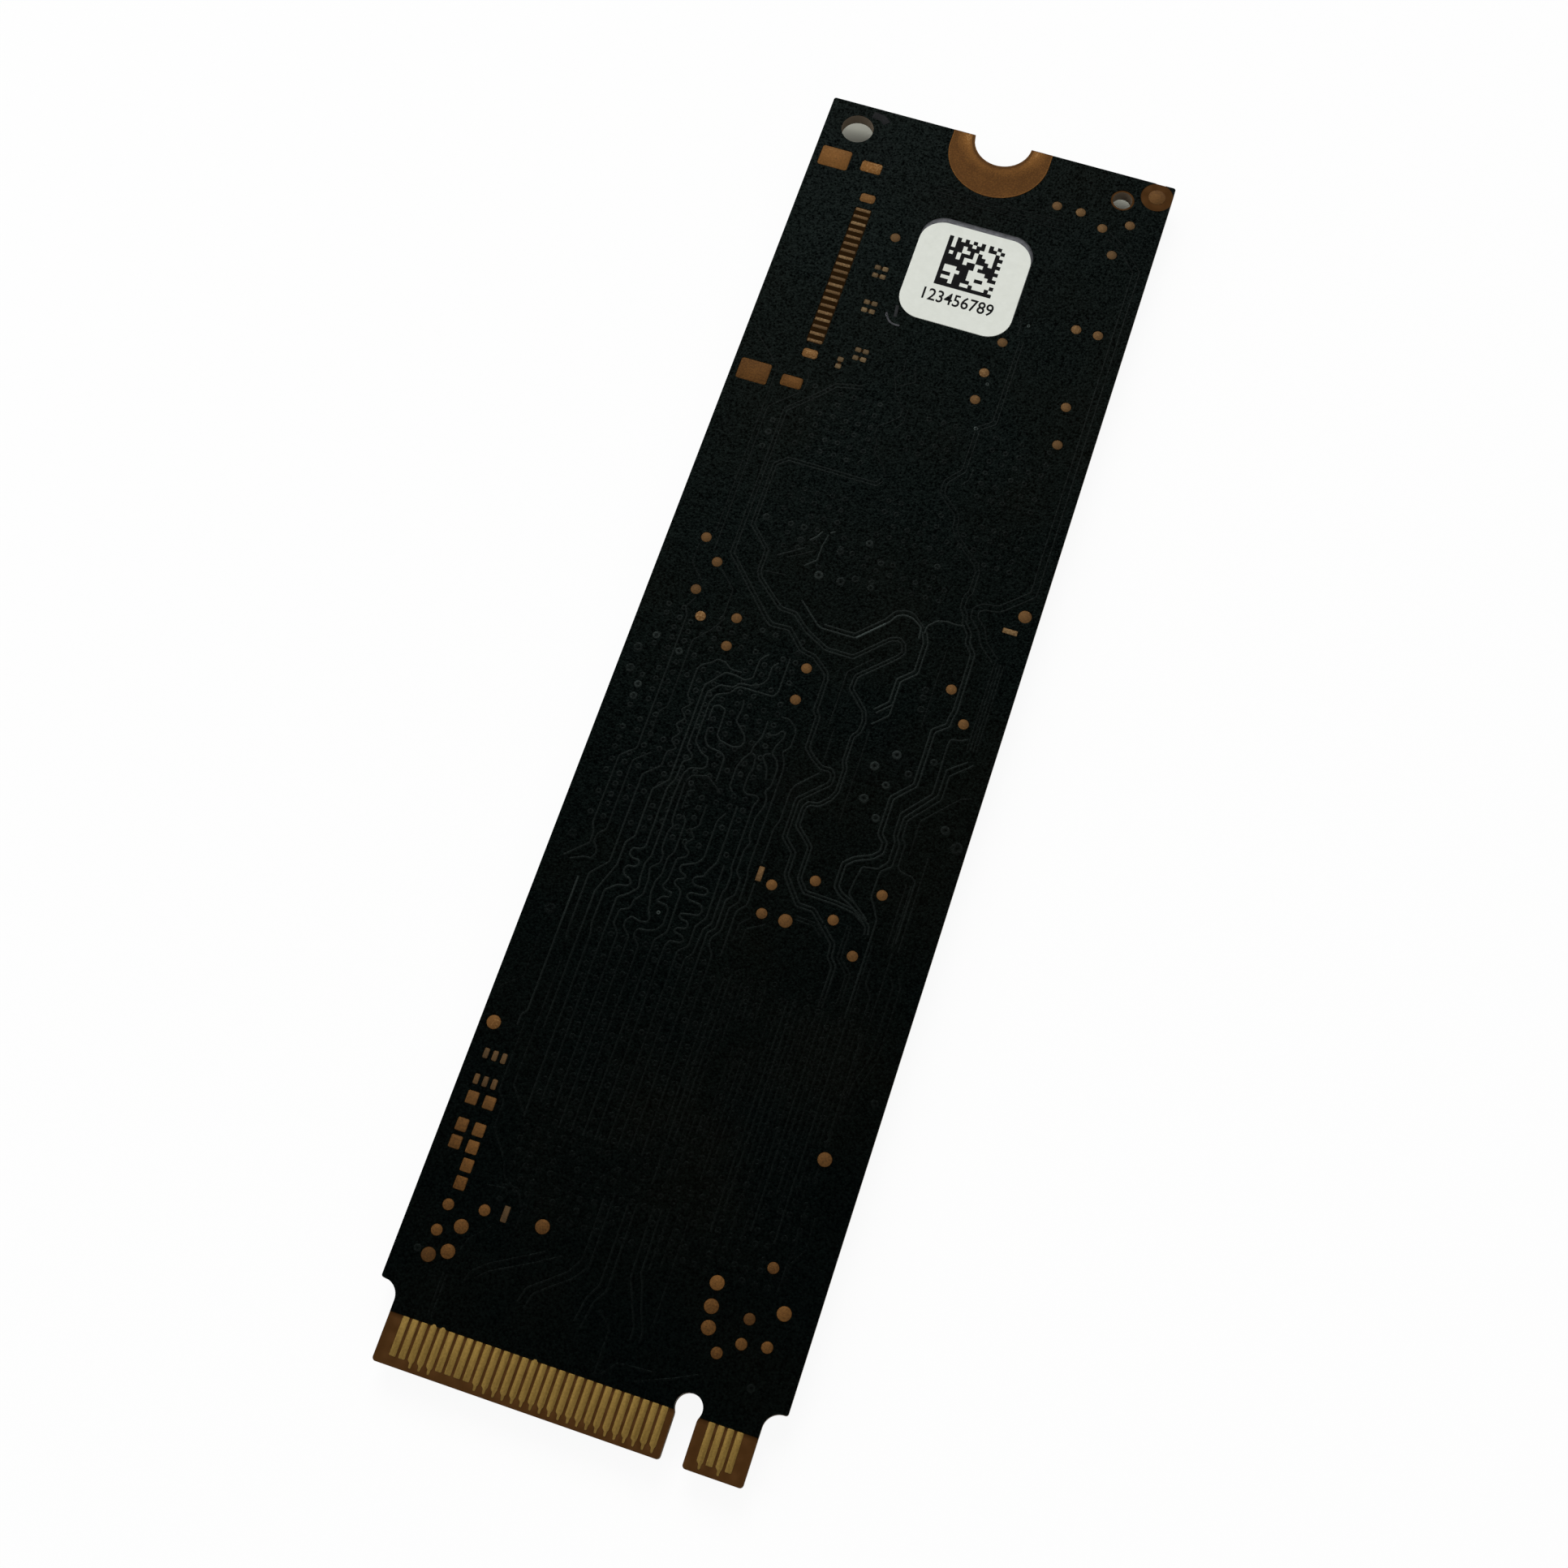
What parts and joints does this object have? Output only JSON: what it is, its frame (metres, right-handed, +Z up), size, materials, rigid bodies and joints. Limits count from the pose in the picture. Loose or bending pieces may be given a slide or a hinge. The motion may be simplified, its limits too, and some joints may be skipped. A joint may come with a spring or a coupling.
{
  "type": "m.2 solid-state drive card",
  "caption": "Flat single-sided plug-in storage card with a keyed contact edge, a half-round screw notch, memory and controller chips below and bare test lands and a small sticker above.",
  "frame": {"origin": "middle of the card in plan, in the plane of the chip tops that it rests on", "axes": "+X across the card, +Y along it from the contact edge to the screw notch, +Z up out of the bare side"},
  "size_m": [0.022, 0.08, 0.0019],
  "materials": {
    "board_coat": "satin",
    "contact_gold": "satin",
    "bare_copper": "satin",
    "label_paper": "matte",
    "chip_mould": "matte",
    "chip_substrate": "satin",
    "solder": "satin",
    "ferrite": "matte",
    "tinned_ends": "satin",
    "capacitor_ceramic": "satin",
    "resistor_glaze": "gloss",
    "crystal_ceramic": "matte",
    "crystal_metal": "satin"
  },
  "bodies": {
    "root": {"circuit_board": "board_coat", "back_contacts": "contact_gold", "front_contacts": "contact_gold", "screw_land": "bare_copper", "test_pads": "bare_copper", "fiducial_dot": "bare_copper", "debug_signal_lands": "bare_copper", "debug_anchor_lands": "bare_copper", "jumper_lands": "bare_copper", "passive_lands": "bare_copper", "bar_lands": "bare_copper", "label": "label_paper", "flash_mould": "chip_mould", "flash_substrate": "chip_substrate", "flash_balls": "solder", "controller_mould": "chip_mould", "controller_substrate": "chip_substrate", "controller_balls": "solder", "power_chip": "chip_mould", "power_chip_leads": "solder", "load_switch": "chip_mould", "load_switch_leads": "solder", "inductor_cores": "ferrite", "inductor_ends": "tinned_ends", "bulk_capacitors": "capacitor_ceramic", "bulk_capacitor_ends": "tinned_ends", "decoupling_capacitors": "capacitor_ceramic", "decoupling_capacitor_ends": "tinned_ends", "coupling_capacitors": "capacitor_ceramic", "coupling_capacitor_ends": "tinned_ends", "resistors": "resistor_glaze", "resistor_ends": "tinned_ends", "crystal_base": "crystal_ceramic", "crystal_lid": "crystal_metal"}
  },
  "joints": []
}
